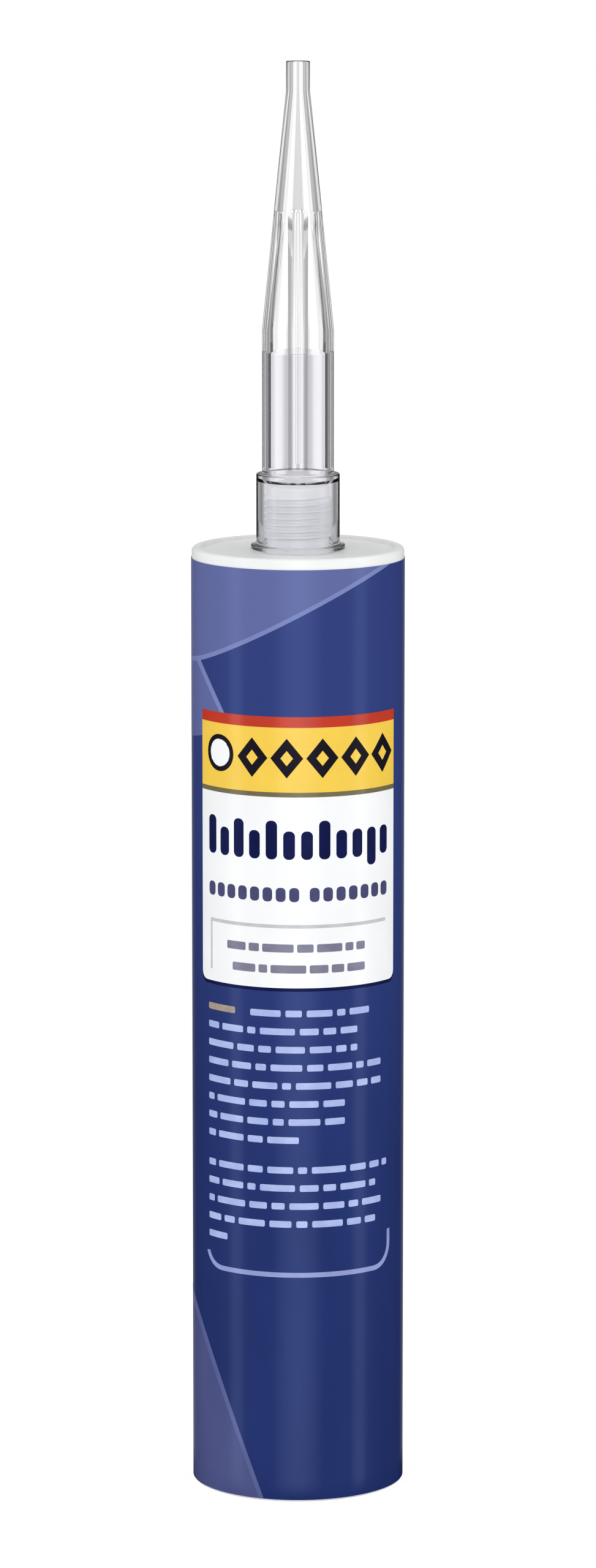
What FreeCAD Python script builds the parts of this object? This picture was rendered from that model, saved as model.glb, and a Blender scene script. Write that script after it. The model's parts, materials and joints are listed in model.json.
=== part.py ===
import FreeCAD
import Part
import math
import os

# Caulk cartridge, standing on its open end, all sizes in millimetres.
# The origin is the centre of the bottom rim, +Z runs up the tube to the nozzle
# and the label faces -Y.

# Barrel: one white moulding of tube, shoulder and neck, the neck as a solid of its own
BORE_R = 23.4
BARREL_WALL = 1.2
BARREL_HEIGHT = 221.2
SHOULDER_THICKNESS = 2.0
SHOULDER_FILLET = 1.0
RIM_WIDTH = 2.2
RIM_HEIGHT = 0.8
RIM_ROUNDING = 0.9
LEAD_IN_WIDENING = 0.2
LEAD_IN_DEPTH = 14.0
LEAD_IN_CONE = 1.0
MOUTH_ROUNDING = 0.3
NECK_WALL = 1.6
NECK_CORE_R = 7.2
NECK_HEIGHT = 15.0
NECK_ROUNDING = 0.6
MEMBRANE_THICKNESS = 0.6

# Printed film round the barrel, with its fields of colour
FILM_THICKNESS = 0.2
FILM_TOP_GAP = 2.4
FILM_BOTTOM_GAP = 0.4
LABEL_HALF_ANGLE = 62.8
LABEL_CORNER = 2.0
LABEL_DROP = 33.8
STRIPE_HEIGHT = 2.5
BAND_HEIGHT = 15.6
PANEL_HEIGHT = 45.0

# Light fields: each edge is a straight cut, seen from the front, and its rise is
# the height that it gains for each mm to the right
UPPER_CUT_DROP = 11.0
UPPER_CUT_RISE = 0.52
SIDE_CUT_INSET = 2.4
SIDE_CUT_RISE = -2.03
SIDE_FIELD_DEPTH = 17.5
LOWER_CUT_INSET = 16.8
LOWER_CUT_RISE = -2.75

# Piston: a cup with two lips that wipe the bore
PISTON_HEIGHT = 20.0
PISTON_RUNNING_GAP = 0.05
PISTON_LIP_HEIGHT = 3.0
PISTON_WAIST_DEPTH = 0.6
PISTON_SKIRT_WALL = 1.2
PISTON_CROWN_THICKNESS = 1.6
PISTON_EDGE_ROUNDING = 1.3
PISTON_HUB_R = 7.0
PISTON_HUB_WALL = 1.2
PISTON_RIB_COUNT = 6
PISTON_RIB_THICKNESS = 1.2
PISTON_RIB_HEIGHT = 2.5
PISTON_END_GAP = 0.3

# Sealant: from the piston to the shoulder and up into the neck, 310 ml in all
SEALANT_LENGTH = 179.3

# Nozzle: one clear moulding, heights from the disc that it stands on
NOZZLE_SEAT_GAP = 0.2
NOZZLE_WALL = 1.35
NOZZLE_TIP_WALL = 1.25
FOOT_R = 10.9
FOOT_THICKNESS = 1.2
COLLAR_HEIGHT = 17.6
THREAD_DEPTH = 0.8
THREAD_CLEARANCE = 0.3
TUBE_TOP = 50.8
BORE_STEP_TOP = 45.7
BORE_STEP_WIDTH = 0.5
TAPER_TOP = 105.5
TIP_R = 2.75
TIP_TOP = 112.3
NOZZLE_ROUNDING = 0.3
CUT_OVERRUN = 1.0
FLOW_RIB_WIDTH = 4.2
FLOW_RIB_DEPTH = 0.4
FLOW_RIB_LOW = 19.0
FLOW_RIB_TOP = 78.0

# Places and sizes that follow from the ones above
barrel_r = BORE_R + BARREL_WALL
disc_z = BARREL_HEIGHT - RIM_HEIGHT
shoulder_z = disc_z - SHOULDER_THICKNESS
neck_top = disc_z + NECK_HEIGHT
skin_z = neck_top - MEMBRANE_THICKNESS
neck_bore_r = NECK_CORE_R - NECK_WALL
lead_in_r = BORE_R + LEAD_IN_WIDENING
film_r = barrel_r + FILM_THICKNESS
film_low = FILM_BOTTOM_GAP
film_high = BARREL_HEIGHT - FILM_TOP_GAP
label_high = film_high - LABEL_DROP
stripe_low = label_high - STRIPE_HEIGHT
band_low = stripe_low - BAND_HEIGHT
label_low = band_low - PANEL_HEIGHT
upper_cut = (0, film_high - UPPER_CUT_DROP)
side_cut_x = SIDE_CUT_INSET - film_r
side_cut = (side_cut_x, upper_cut[1] + UPPER_CUT_RISE * side_cut_x)
side_field_cut = (0, upper_cut[1] - SIDE_FIELD_DEPTH)
lower_cut = (LOWER_CUT_INSET - film_r, film_low)
sealant_low = shoulder_z - SEALANT_LENGTH
piston_top = sealant_low - PISTON_END_GAP
piston_low = piston_top - PISTON_HEIGHT
crown_underside = piston_top - PISTON_CROWN_THICKNESS
nozzle_z = disc_z + NOZZLE_SEAT_GAP
collar_bore_r = NECK_CORE_R + THREAD_DEPTH + THREAD_CLEARANCE
collar_r = collar_bore_r + NOZZLE_WALL
tube_r = collar_r - NOZZLE_WALL
tube_bore_r = tube_r - NOZZLE_WALL

ORIGIN = FreeCAD.Vector(0, 0, 0)
UP = FreeCAD.Vector(0, 0, 1)
BEYOND = 4 * BARREL_HEIGHT


def rounded_wire(corners):
    """Closed outline in the XZ plane; each corner is (x, z) or (x, z, rounding)."""
    spots = [FreeCAD.Vector(corner[0], 0, corner[1]) for corner in corners]
    turns = []
    for i, corner in enumerate(corners):
        here = spots[i]
        rounding = corner[2] if len(corner) > 2 else 0
        if rounding == 0:
            turns.append((here, None, here))
            continue
        back = (spots[i - 1] - here).normalize()
        ahead = (spots[(i + 1) % len(spots)] - here).normalize()
        half_angle = back.getAngle(ahead) / 2
        reach = rounding / math.tan(half_angle)
        inward = (back + ahead).normalize()
        middle = here + inward * (rounding / math.sin(half_angle) - rounding)
        turns.append((here + back * reach, middle, here + ahead * reach))
    edges = []
    for i, (enter, middle, leave) in enumerate(turns):
        edges.append(Part.makeLine(turns[i - 1][2], enter))
        if middle is not None:
            edges.append(Part.Arc(enter, middle, leave).toShape())
    return Part.Wire(edges)


def turned(corners):
    """Solid of revolution round the tube's axis from an outline of (radius, height)."""
    return Part.Face(rounded_wire(corners)).revolve(ORIGIN, UP, 360)


def front_prism(outline):
    """Prism right through the part, seen from the front as an outline of (x, z)."""
    face = Part.Face(rounded_wire(outline))
    face.translate(FreeCAD.Vector(0, -BEYOND / 2, 0))
    return face.extrude(FreeCAD.Vector(0, BEYOND, 0))


def ring(inner_r, outer_r, low, high):
    return turned([(inner_r, low), (outer_r, low), (outer_r, high), (inner_r, high)])


def cut_line(point, rise):
    """Two far ends of a straight cut through a point, left then right."""
    left, right = -BARREL_HEIGHT, BARREL_HEIGHT
    x, z = point
    return (left, z + rise * (left - x)), (right, z + rise * (right - x))


def make_barrel():
    return turned([
        (neck_bore_r, shoulder_z),
        (BORE_R, shoulder_z, SHOULDER_FILLET),
        (BORE_R, LEAD_IN_DEPTH + LEAD_IN_CONE),
        (lead_in_r, LEAD_IN_DEPTH),
        (lead_in_r, 0, MOUTH_ROUNDING),
        (barrel_r, 0, MOUTH_ROUNDING),
        (barrel_r, BARREL_HEIGHT, RIM_ROUNDING),
        (barrel_r - RIM_WIDTH, BARREL_HEIGHT, RIM_HEIGHT / 3),
        (barrel_r - RIM_WIDTH, disc_z, RIM_HEIGHT / 3),
        (neck_bore_r, disc_z),
    ])


def make_neck():
    """The neck on its disc, closed by the thin moulded skin that is pierced in use."""
    return turned([
        (neck_bore_r, disc_z),
        (NECK_CORE_R, disc_z),
        (NECK_CORE_R, neck_top, NECK_ROUNDING),
        (0, neck_top),
        (0, skin_z),
        (neck_bore_r, skin_z),
    ])


def label_window():
    """Block that cuts the label's place out of the film, its lower corners rounded."""
    depth = BARREL_WALL
    block = Part.makeCylinder(
        film_r + depth, label_high - label_low,
        FreeCAD.Vector(0, 0, label_low), UP, 2 * LABEL_HALF_ANGLE)
    block.rotate(ORIGIN, UP, -90 - LABEL_HALF_ANGLE)
    block = block.cut(Part.makeCylinder(film_r - depth, BEYOND))
    corner_edges = []
    for edge in block.Edges:
        middle = edge.CenterOfMass
        straight = isinstance(edge.Curve, Part.Line)
        level = abs(edge.Vertexes[0].Z - label_low) + abs(edge.Vertexes[-1].Z - label_low)
        if straight and level < FILM_THICKNESS and middle.z < band_low:
            corner_edges.append(edge)
    return block.makeFillet(LABEL_CORNER, corner_edges)


def make_film():
    """The blue film and the fields of colour that lie in it, by node name."""
    film = ring(barrel_r, film_r, film_low, film_high)
    window = label_window()
    label = film.common(window)
    panel = label.common(ring(0, BEYOND, label_low, band_low))
    band = label.common(ring(0, BEYOND, band_low, stripe_low))
    stripe = label.common(ring(0, BEYOND, stripe_low, label_high))
    plain = film.cut(window)

    upper_left, upper_right = cut_line(upper_cut, UPPER_CUT_RISE)
    under_left, under_right = cut_line(side_field_cut, UPPER_CUT_RISE)
    steep_left, steep_right = cut_line(side_cut, SIDE_CUT_RISE)
    low_left, low_right = cut_line(lower_cut, LOWER_CUT_RISE)
    over = front_prism([upper_left, upper_right, (upper_right[0], BEYOND), (upper_left[0], BEYOND)])
    between = front_prism([under_left, under_right, upper_right, upper_left])
    left_of_steep = front_prism([steep_left, (steep_left[0], steep_right[1]), steep_right])
    left_of_low = front_prism([low_left, (low_left[0], low_right[1]), low_right])
    upper_field = plain.common(over)
    side_field = plain.common(between).common(left_of_steep)
    lower_field = plain.common(left_of_low)
    blue = plain.cut(over).cut(side_field).cut(left_of_low)
    return {
        "printed_film": blue,
        "film_upper_field": upper_field,
        "film_side_field": side_field,
        "film_lower_field": lower_field,
        "label_panel": panel,
        "label_band": band,
        "label_stripe": stripe,
    }


def make_sealant():
    return turned([
        (0, sealant_low),
        (BORE_R, sealant_low),
        (BORE_R, shoulder_z, SHOULDER_FILLET),
        (neck_bore_r, shoulder_z),
        (neck_bore_r, skin_z),
        (0, skin_z),
    ])


def make_piston():
    lip_r = BORE_R - PISTON_RUNNING_GAP
    waist_r = lip_r - PISTON_WAIST_DEPTH
    skirt_bore_r = waist_r - PISTON_SKIRT_WALL
    cup = turned([
        (skirt_bore_r, piston_low),
        (lip_r, piston_low, MOUTH_ROUNDING),
        (lip_r, piston_low + PISTON_LIP_HEIGHT),
        (waist_r, piston_low + PISTON_LIP_HEIGHT + PISTON_WAIST_DEPTH),
        (waist_r, piston_top - PISTON_LIP_HEIGHT - PISTON_WAIST_DEPTH),
        (lip_r, piston_top - PISTON_LIP_HEIGHT),
        (lip_r, piston_top, PISTON_EDGE_ROUNDING),
        (0, piston_top),
        (0, crown_underside),
        (skirt_bore_r, crown_underside, PISTON_SKIRT_WALL),
    ])
    rib_low = crown_underside - PISTON_RIB_HEIGHT
    hub_middle_r = PISTON_HUB_R - PISTON_HUB_WALL / 2
    crown_middle = piston_top - PISTON_CROWN_THICKNESS / 2
    cup = cup.fuse(ring(PISTON_HUB_R - PISTON_HUB_WALL, PISTON_HUB_R, rib_low, crown_middle))
    for i in range(PISTON_RIB_COUNT):
        rib = Part.makeBox(
            skirt_bore_r + PISTON_SKIRT_WALL / 2 - hub_middle_r,
            PISTON_RIB_THICKNESS,
            crown_middle - rib_low,
            FreeCAD.Vector(hub_middle_r, -PISTON_RIB_THICKNESS / 2, rib_low))
        rib.rotate(ORIGIN, UP, i * 360 / PISTON_RIB_COUNT)
        cup = cup.fuse(rib)
    return cup


def nozzle_bore(inset):
    """The nozzle's inside, made smaller all round by the inset."""
    upper_bore_r = tube_bore_r - BORE_STEP_WIDTH
    tip_bore_r = TIP_R - NOZZLE_TIP_WALL
    step_z = nozzle_z + COLLAR_HEIGHT - NOZZLE_WALL
    tip_z = nozzle_z + TIP_TOP
    return turned([
        (0, nozzle_z - CUT_OVERRUN),
        (collar_bore_r - inset, nozzle_z - CUT_OVERRUN),
        (collar_bore_r - inset, step_z - BORE_STEP_WIDTH),
        (tube_bore_r - inset, step_z),
        (tube_bore_r - inset, nozzle_z + BORE_STEP_TOP),
        (upper_bore_r - inset, nozzle_z + BORE_STEP_TOP),
        (upper_bore_r - inset, nozzle_z + TUBE_TOP),
        (tip_bore_r - inset, nozzle_z + TAPER_TOP),
        (tip_bore_r - inset, tip_z + CUT_OVERRUN),
        (0, tip_z + CUT_OVERRUN),
    ])


def make_nozzle():
    outside = turned([
        (0, nozzle_z),
        (FOOT_R, nozzle_z, NOZZLE_ROUNDING),
        (FOOT_R, nozzle_z + FOOT_THICKNESS, NOZZLE_ROUNDING),
        (collar_r, nozzle_z + FOOT_THICKNESS, NOZZLE_ROUNDING),
        (collar_r, nozzle_z + COLLAR_HEIGHT, NOZZLE_ROUNDING),
        (tube_r, nozzle_z + COLLAR_HEIGHT, NOZZLE_ROUNDING),
        (tube_r, nozzle_z + TUBE_TOP),
        (TIP_R, nozzle_z + TAPER_TOP),
        (TIP_R, nozzle_z + TIP_TOP, NOZZLE_ROUNDING),
        (0, nozzle_z + TIP_TOP),
    ])
    rib_length = FLOW_RIB_TOP - FLOW_RIB_LOW
    wide = Part.makeBox(
        2 * collar_r, FLOW_RIB_WIDTH, rib_length,
        FreeCAD.Vector(-collar_r, -FLOW_RIB_WIDTH / 2, nozzle_z + FLOW_RIB_LOW))
    deep = Part.makeBox(
        FLOW_RIB_WIDTH, 2 * collar_r, rib_length,
        FreeCAD.Vector(-FLOW_RIB_WIDTH / 2, -collar_r, nozzle_z + FLOW_RIB_LOW))
    bore = nozzle_bore(0).cut(wide.fuse(deep)).fuse(nozzle_bore(FLOW_RIB_DEPTH))
    return outside.cut(bore)


nodes = {
    "cartridge_barrel": make_barrel(),
    "cartridge_neck": make_neck(),
    "piston": make_piston(),
    "sealant": make_sealant(),
    "nozzle": make_nozzle(),
}
nodes.update(make_film())

os.makedirs("parts", exist_ok=True)
for name, shape in nodes.items():
    solid = shape.removeSplitter()
    solid.exportStep("parts/" + name + ".step")
    box = solid.BoundBox
    print(name, len(solid.Solids), "solids, valid", solid.isValid(),
          "volume %.0f mm3" % solid.Volume, "z %.2f to %.2f" % (box.ZMin, box.ZMax))
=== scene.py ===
"""Visual model of a caulk tube: a printed cartridge, its clear nozzle, its piston and its sealant.

Every piece is made in metres round the tube's axis, which is Z. The label faces -Y.
Sizes in the classes are in millimetres, apart from the studio's.
"""
import json
import logging
import math
from collections.abc import Callable, Iterator
from contextlib import contextmanager
from dataclasses import dataclass
from enum import Enum

import bmesh
import bpy
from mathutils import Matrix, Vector

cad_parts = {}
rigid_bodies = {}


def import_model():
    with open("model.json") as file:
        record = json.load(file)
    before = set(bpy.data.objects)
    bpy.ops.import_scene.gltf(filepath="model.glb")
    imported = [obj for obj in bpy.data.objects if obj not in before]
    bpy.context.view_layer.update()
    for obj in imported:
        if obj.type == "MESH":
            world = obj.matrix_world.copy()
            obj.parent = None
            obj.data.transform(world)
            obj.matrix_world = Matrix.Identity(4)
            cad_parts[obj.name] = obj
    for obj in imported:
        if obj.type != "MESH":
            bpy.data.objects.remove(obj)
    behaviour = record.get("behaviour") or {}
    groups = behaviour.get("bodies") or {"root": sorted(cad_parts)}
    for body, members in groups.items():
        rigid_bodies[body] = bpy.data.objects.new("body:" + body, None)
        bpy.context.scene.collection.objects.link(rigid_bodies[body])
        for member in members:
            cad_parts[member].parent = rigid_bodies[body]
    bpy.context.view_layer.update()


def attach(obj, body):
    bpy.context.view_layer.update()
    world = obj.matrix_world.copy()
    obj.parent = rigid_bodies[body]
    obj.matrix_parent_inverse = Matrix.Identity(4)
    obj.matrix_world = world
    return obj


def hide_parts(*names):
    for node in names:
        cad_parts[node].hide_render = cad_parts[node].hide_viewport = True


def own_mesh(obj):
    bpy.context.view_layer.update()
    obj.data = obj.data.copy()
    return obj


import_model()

MM = 0.001
MERGE_DISTANCE = 0.001 * MM
FULL_TURN = 2 * math.pi
log = logging.getLogger("caulk_tube")

Piece = bpy.types.Object
Socket = bpy.types.NodeSocket
Corner = tuple[float, float, float]
Plane = tuple[Vector, Vector]


# Modelling steps that every piece shares


def mode(name: str) -> None:
    """Switches the active object to a mode."""
    bpy.ops.object.mode_set(mode=name)


def choose(*pieces: Piece) -> None:
    """Leaves object mode with only these pieces selected and the first of them active.

    Args:
        pieces: the objects to work on, or none.
    """
    if bpy.context.object is not None and bpy.context.object.mode != "OBJECT":
        mode("OBJECT")
    for piece in bpy.context.scene.objects:
        piece.select_set(piece in pieces)
    if pieces:
        bpy.context.view_layer.objects.active = pieces[0]


@contextmanager
def editing(piece: Piece) -> Iterator[None]:
    """Opens one piece in edit mode with its whole mesh selected, and closes it again.

    Args:
        piece: the object to edit.

    Yields:
        Nothing, while the piece is open.
    """
    choose(piece)
    mode("EDIT")
    bpy.ops.mesh.select_all(action="SELECT")
    yield
    mode("OBJECT")


def add(operator: Callable[..., set[str]], name: str, **settings: object) -> Piece:
    """Adds an object by an operator.

    Args:
        operator: the operator that adds it.
        name: the object's name.
        settings: the operator's settings by name.

    Returns:
        The new object.
    """
    choose()
    operator(**settings)
    bpy.context.object.name = name
    return bpy.context.object


def pick(piece: Piece, kind: str, chosen: Callable[..., bool]) -> None:
    """Selects vertices, edges or faces of the piece in edit mode by a test.

    Args:
        piece: the object in edit mode.
        kind: "VERT", "EDGE" or "FACE".
        chosen: the test, which takes the bmesh element.
    """
    bpy.ops.mesh.select_mode(type=kind)
    bpy.ops.mesh.select_all(action="DESELECT")
    mesh = bmesh.from_edit_mesh(piece.data)
    elements = {"VERT": mesh.verts, "EDGE": mesh.edges, "FACE": mesh.faces}[kind]
    for element in filter(chosen, elements):
        element.select_set(True)
    mesh.select_flush_mode()
    bmesh.update_edit_mesh(piece.data)


def slice_all(point: Vector, away: Vector, clear: bool = False) -> None:
    """Scores the whole mesh in edit mode along a plane, and can clear what lies beyond it."""
    bpy.ops.mesh.select_all(action="SELECT")
    bpy.ops.mesh.bisect(plane_co=point, plane_no=away, clear_outer=clear, threshold=MERGE_DISTANCE)


def apply_place(piece: Piece) -> None:
    """Puts the object's place, turn and scale into its mesh."""
    choose(piece)
    bpy.ops.object.transform_apply(location=True, rotation=True, scale=True)


def apply_modifier(piece: Piece, kind: str, **settings: object) -> None:
    """Adds one modifier with its settings and applies it.

    Args:
        piece: the object to change.
        kind: the modifier's type, such as "SOLIDIFY".
        settings: the modifier's properties by name.
    """
    choose(piece)
    modifier = piece.modifiers.new(kind.title(), kind)
    for name, value in settings.items():
        setattr(modifier, name, value)
    bpy.ops.object.modifier_apply(modifier=modifier.name)


def smooth(piece: Piece, sharp_from: float = 35.0) -> None:
    """Shades a piece smooth, apart from edges that turn by more than so many degrees."""
    choose(piece)
    bpy.ops.object.shade_smooth_by_angle(angle=math.radians(sharp_from))


def close_up(piece: Piece) -> None:
    """Merges a piece's doubled vertices, turns its faces outwards and shades it smooth.

    Args:
        piece: the object to mend.
    """
    with editing(piece):
        bpy.ops.mesh.remove_doubles(threshold=MERGE_DISTANCE)
        bpy.ops.mesh.normals_make_consistent(inside=False)
    smooth(piece)


@dataclass
class Lathe:
    """A piece turned round the tube's axis from an outline, as on a lathe.

    The corners are (radius, height, rounding) in mm. An outline that doesn't start and end on
    the axis is closed, or stays open where the piece is a bare surface.
    """

    name: str
    corners: list[Corner]
    closed: bool = False
    steps: int = 192
    arc_segments: int = 5

    def build(self) -> Piece:
        """Draws the outline, rounds its corners and spins it.

        Returns:
            The finished piece.
        """
        piece = self._draw()
        self._round_corners(piece)
        with editing(piece):
            bpy.ops.mesh.spin(
                steps=self.steps, angle=FULL_TURN, center=(0, 0, 0), axis=(0, 0, 1),
                use_auto_merge=True,
            )
        close_up(piece)
        return piece

    def _draw(self) -> Piece:
        """Extrudes one vertex along the outline.

        Returns:
            The outline as an object of edges in the XZ plane.
        """
        first, last = self._place(self.corners[0]), self._place(self.corners[-1])
        piece = add(bpy.ops.mesh.primitive_plane_add, self.name, size=MM, location=first)
        with editing(piece):
            bpy.ops.mesh.select_mode(type="VERT")
            bpy.ops.mesh.merge(type="CENTER")
            for (old_r, old_z, _), (new_r, new_z, _) in zip(self.corners, self.corners[1:]):
                step = ((new_r - old_r) * MM, 0, (new_z - old_z) * MM)
                bpy.ops.mesh.extrude_region_move(TRANSFORM_OT_translate={"value": step})
        apply_place(piece)
        if self.closed:
            with editing(piece):
                pick(piece, "VERT", lambda v: min(
                    (v.co - first).length, (v.co - last).length) < MERGE_DISTANCE)
                bpy.ops.mesh.edge_face_add()
        return piece

    def _round_corners(self, piece: Piece) -> None:
        """Bevels each corner of the outline that has a rounding.

        Args:
            piece: the outline.
        """
        with editing(piece):
            for i, corner in enumerate(self.corners):
                if corner[2] == 0:
                    continue
                here = self._place(corner)
                back = self._place(self.corners[i - 1]) - here
                ahead = self._place(self.corners[(i + 1) % len(self.corners)]) - here
                reach = corner[2] * MM / math.tan(back.angle(ahead) / 2)
                pick(piece, "VERT", lambda v: (v.co - here).length < MERGE_DISTANCE)
                bpy.ops.mesh.bevel(
                    affect="VERTICES", offset_type="OFFSET", offset=reach,
                    segments=self.arc_segments,
                )

    @staticmethod
    def _place(corner: Corner) -> Vector:
        """A corner's place in metres."""
        return Vector((corner[0] * MM, 0, corner[1] * MM))


# Materials


def linear(colour: str) -> tuple[float, float, float, float]:
    """Turns an sRGB hex value into the linear colour that a socket takes.

    Args:
        colour: the value, such as "#24316a".

    Returns:
        Red, green, blue and an alpha of 1.
    """
    channels = [int(colour[i:i + 2], 16) / 255 for i in (1, 3, 5)]
    return (*[c / 12.92 if c <= 0.04045 else ((c + 0.055) / 1.055) ** 2.4 for c in channels], 1.0)


class Nodes:
    """Adds nodes to one tree, most of them in a line each."""

    def __init__(self, tree: bpy.types.NodeTree) -> None:
        """Starts with the tree empty."""
        self.tree = tree
        tree.nodes.clear()

    def add(
        self,
        kind: str,
        settings: dict[str, object] | None = None,
        inputs: dict[str | int, object] | None = None,
    ) -> bpy.types.Node:
        """Adds one node with its settings, and sets or links its inputs.

        Args:
            kind: the node's type, without its "ShaderNode" prefix.
            settings: the node's properties by name.
            inputs: constants, or sockets to link, by the input's name or number.

        Returns:
            The new node.
        """
        node = self.tree.nodes.new("ShaderNode" + kind)
        for name, value in (settings or {}).items():
            setattr(node, name, value)
        for name, value in (inputs or {}).items():
            if isinstance(value, bpy.types.NodeSocket):
                self.tree.links.new(value, node.inputs[name])
            else:
                node.inputs[name].default_value = value
        return node

    def place(self) -> Socket:
        """The place on the object."""
        return self.add("TexCoord").outputs["Object"]

    def ray(self, answer: str) -> Socket:
        """An answer about the light's path, such as "Is Camera Ray"."""
        return self.add("LightPath").outputs[answer]

    def height(self, vector: Socket) -> Socket:
        """A vector's upright part."""
        return self.add("SeparateXYZ", inputs={"Vector": vector}).outputs["Z"]

    def noise(self, place: Socket, size_mm: float, detail: float) -> Socket:
        """Noise that repeats about every so many mm."""
        inputs = {"Vector": place, "Scale": 1 / (size_mm * MM), "Detail": detail}
        return self.add("TexNoise", inputs=inputs).outputs["Fac"]

    def ranged(
        self,
        value: Socket,
        span: tuple[float, float] = (0.0, 1.0),
        target: tuple[float, float] = (0.0, 1.0),
        interpolation: str = "LINEAR",
    ) -> Socket:
        """Maps a value from one span to another and holds it at the ends.

        Args:
            value: the value.
            span: the span that it comes from.
            target: the span that it goes to.
            interpolation: how it runs between the ends.

        Returns:
            The mapped value's socket.
        """
        inputs = {
            "Value": value, "From Min": span[0], "From Max": span[1],
            "To Min": target[0], "To Max": target[1],
        }
        return self.add("MapRange", {"interpolation_type": interpolation}, inputs).outputs[0]

    def mixed(self, share: Socket, first: object, second: object) -> Socket:
        """Mixes two colours by a share of the second."""
        inputs = {0: share, 6: first, 7: second}
        return self.add("Mix", {"data_type": "RGBA"}, inputs).outputs[2]

    def mixed_shaders(self, share: Socket | float, first: Socket, second: Socket) -> Socket:
        """Mixes two shaders by a share of the second."""
        return self.add("MixShader", inputs={0: share, 1: first, 2: second}).outputs[0]

    def emission(self, colour: object, strength: object) -> Socket:
        """A shader that gives off a colour."""
        return self.add("Emission", inputs={"Color": colour, "Strength": strength}).outputs[0]

    def maths(self, operation: str, *values: object) -> Socket:
        """Works out one operation on numbers."""
        return self.add("Math", {"operation": operation}, dict(enumerate(values))).outputs[0]

    def vectors(self, operation: str, *values: object, output: str = "Vector") -> Socket:
        """Works out one operation on vectors."""
        node = self.add("VectorMath", {"operation": operation}, dict(enumerate(values)))
        return node.outputs[output]

    def relief(self, height: Socket, depth_mm: float) -> Socket:
        """The bumped normal of a pattern of heights that stand so many mm high."""
        inputs = {"Height": height, "Strength": 1.0, "Distance": depth_mm * MM}
        return self.add("Bump", inputs=inputs).outputs["Normal"]


def new_material(name: str) -> tuple[bpy.types.Material, Nodes]:
    """Makes a material with an empty node tree.

    Args:
        name: the material's name.

    Returns:
        The material and the maker of its nodes.
    """
    material = bpy.data.materials.new(name)
    material.use_nodes = True
    return material, Nodes(material.node_tree)


@dataclass(frozen=True)
class OpaquePlastic:
    """A plastic or print that light doesn't pass: mottled colour, fine relief and uneven gloss.

    The colour drifts between two hex values over mottle_mm, and turns into high_colour, if it has
    one, over the heights of gradient_mm. The relief has grains of grain_mm that stand
    grain_depth_mm high, and the roughness varies by gloss_spread either way. Streak draws both
    patterns out upwards. The gloss takes on gloss_tint.
    """

    name: str
    colour: str
    mottle_colour: str
    mottle_mm: float
    grain_mm: float = 2.6
    grain_depth_mm: float = 0.004
    roughness: float = 0.18
    gloss_spread: float = 0.03
    ior: float = 1.5
    coat: float = 0.0
    coat_roughness: float = 0.05
    subsurface: float = 0.0
    subsurface_mm: float = 1.5
    streak: float = 1.0
    high_colour: str = ""
    gradient_mm: tuple[float, float] = (60.0, 190.0)
    gloss_tint: str = "#ffffff"
    mottle_detail: float = 3.0
    mottle_span: tuple[float, float] = (0.35, 0.65)
    gloss_span: tuple[float, float] = (0.3, 0.7)
    grain_detail: float = 2.0

    def make(self) -> bpy.types.Material:
        """Builds the node tree.

        Returns:
            The material.
        """
        material, nodes = new_material(self.name)
        place = nodes.place()
        stretch = {"Vector": place, "Scale": (1, 1, 1 / self.streak)}
        stretched = nodes.add("Mapping", inputs=stretch).outputs["Vector"]
        mottle = nodes.noise(stretched, self.mottle_mm, self.mottle_detail)
        share = nodes.ranged(mottle, self.mottle_span)
        colour = nodes.mixed(share, linear(self.colour), linear(self.mottle_colour))
        if self.high_colour:
            low, high = self.gradient_mm
            up = nodes.ranged(
                nodes.height(place), (low * MM, high * MM), interpolation="SMOOTHSTEP"
            )
            colour = nodes.mixed(up, colour, linear(self.high_colour))
        least, most = self.roughness - self.gloss_spread, self.roughness + self.gloss_spread
        gloss = nodes.ranged(mottle, self.gloss_span, (least, most))
        grain = nodes.noise(stretched, self.grain_mm, self.grain_detail)
        shader = nodes.add("BsdfPrincipled", inputs={
            "Base Color": colour, "Roughness": gloss, "IOR": self.ior,
            "Normal": nodes.relief(grain, self.grain_depth_mm),
            "Coat Weight": self.coat, "Coat Roughness": self.coat_roughness,
            "Specular Tint": linear(self.gloss_tint),
            "Subsurface Weight": self.subsurface, "Subsurface Scale": self.subsurface_mm * MM,
        })
        nodes.add("OutputMaterial", inputs={"Surface": shader.outputs[0]})
        return material


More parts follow.
